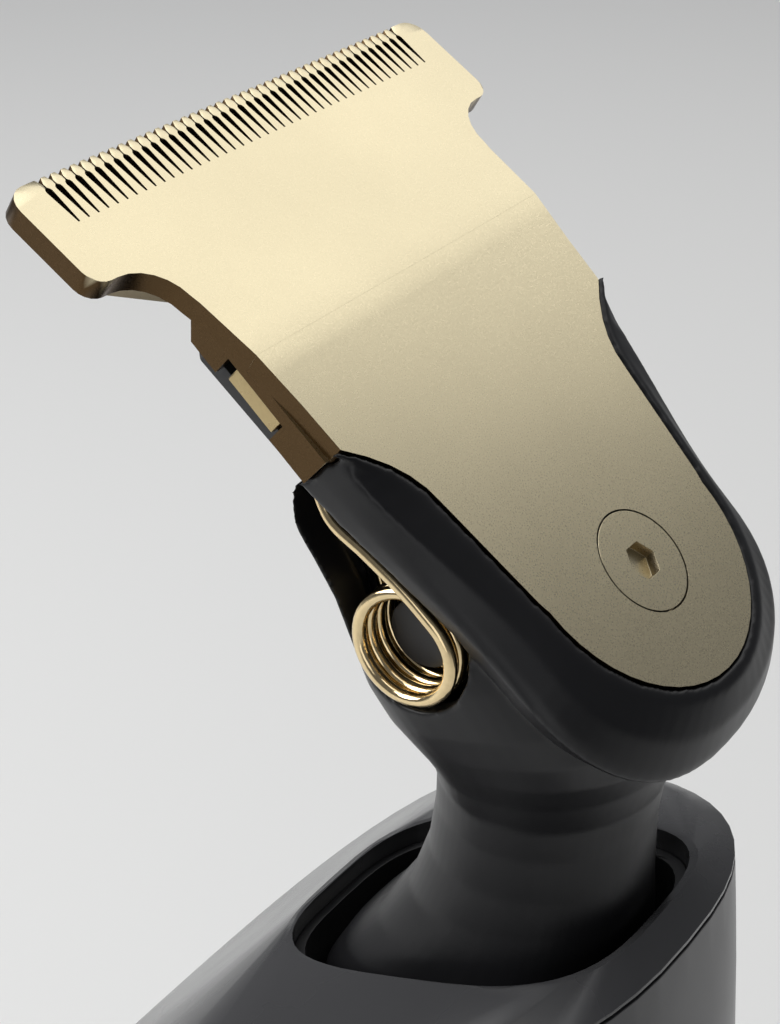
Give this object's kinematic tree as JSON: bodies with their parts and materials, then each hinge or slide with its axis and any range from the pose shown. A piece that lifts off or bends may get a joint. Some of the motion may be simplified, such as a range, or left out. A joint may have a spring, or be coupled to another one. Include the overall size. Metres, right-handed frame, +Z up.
{
  "type": "beard trimmer",
  "caption": "Cordless T-blade trimmer: tilted head with a wide toothed blade on a gooseneck neck, coil springs in side windows, round grip with a sloping collar.",
  "frame": {"origin": "centre of the grip, on the flat bottom of its base", "axes": "+Z up the grip towards the blade; -Y is the front, which the blade faces; X runs along the teeth and the part is symmetric about the YZ plane"},
  "size_m": [0.0424, 0.0462, 0.1666],
  "materials": {
    "champagne_blade": "satin titanium-gold coating",
    "cutter_steel": "ground and gold coated",
    "spring_gold": "polished",
    "brass_bits": "turned",
    "carrier_plastic": "moulded",
    "satin_black": "satin",
    "collar_gloss": "semi-gloss",
    "shell_charcoal": "satin coat",
    "grip_rubber": "matte",
    "seal_rubber": "matte",
    "bright_steel": "drawn",
    "dark_steel": "blackened",
    "acetal": "moulded",
    "lead_red": "insulation",
    "battery_wrap": "shrink film",
    "insulation_card": "card",
    "board_green": "solder mask",
    "chip_black": "moulded",
    "bezel_dark": "polished",
    "light_pipe": "clear plastic"
  },
  "bodies": {
    "grip": {"fixed_blade": "champagne_blade", "guide_bar": "brass_bits", "blade_screw": "champagne_blade", "screw_insert": "brass_bits", "tension_spring": "spring_gold", "spring_post": "carrier_plastic", "head_housing": "satin_black", "head_rear_cover": "satin_black", "rear_cover_screws": "dark_steel", "lever_pivot_pin": "bright_steel", "neck_seal": "seal_rubber", "neck_clamp_ring": "bright_steel", "top_collar": "collar_gloss", "socket_liner": "carrier_plastic", "collar_trim": "seal_rubber", "front_shell": "shell_charcoal", "rear_shell": "shell_charcoal", "left_grip": "grip_rubber", "right_grip": "grip_rubber", "chassis": "carrier_plastic", "motor_can": "bright_steel", "motor_end_cap": "acetal", "motor_bearing": "brass_bits", "motor_cushion": "grip_rubber", "motor_leads": "lead_red", "battery_cell": "battery_wrap", "battery_sleeve": "insulation_card", "battery_tabs": "bright_steel", "circuit_board": "board_green", "button_switch": "bright_steel", "charge_chip": "chip_black", "button_seal": "seal_rubber", "button_bezel": "bezel_dark", "light_pipes": "light_pipe", "charge_socket": "bright_steel", "base_cap": "shell_charcoal", "base_pad": "grip_rubber", "shell_screws": "dark_steel", "base_screws": "dark_steel"},
    "cutter": {"moving_blade": "cutter_steel", "cutter_carrier": "carrier_plastic"},
    "lever": {"drive_lever": "acetal", "lever_bush": "brass_bits"},
    "rotor": {"motor_rotor": "dark_steel", "drive_cam": "bright_steel"},
    "button": {"power_button": "champagne_blade"}
  },
  "joints": [
    {"name": "cutter_slide", "type": "slide", "parent": "grip", "child": "cutter", "axis": [1, 0, 0], "range_m": [-0.001, 0.001]},
    {"name": "lever_swing", "type": "hinge", "parent": "grip", "child": "lever", "pos_m": [0, -0.0106, 0.1125], "axis": [0, 1, 0], "range_deg": [-1.5, 1.5]},
    {"name": "rotor_spin", "type": "hinge", "parent": "grip", "child": "rotor", "pos_m": [0, -0.006, 0.06], "axis": [0, 0, 1], "continuous": true},
    {"name": "button_press", "type": "slide", "parent": "grip", "child": "button", "axis": [0, 1, 0], "range_m": [0, 0.0006], "stiffness_N_per_m": 600}
  ],
  "couplings": [
    {"joint": "cutter_slide", "follows": "lever_swing", "m_per_rad": 0.0375}
  ]
}
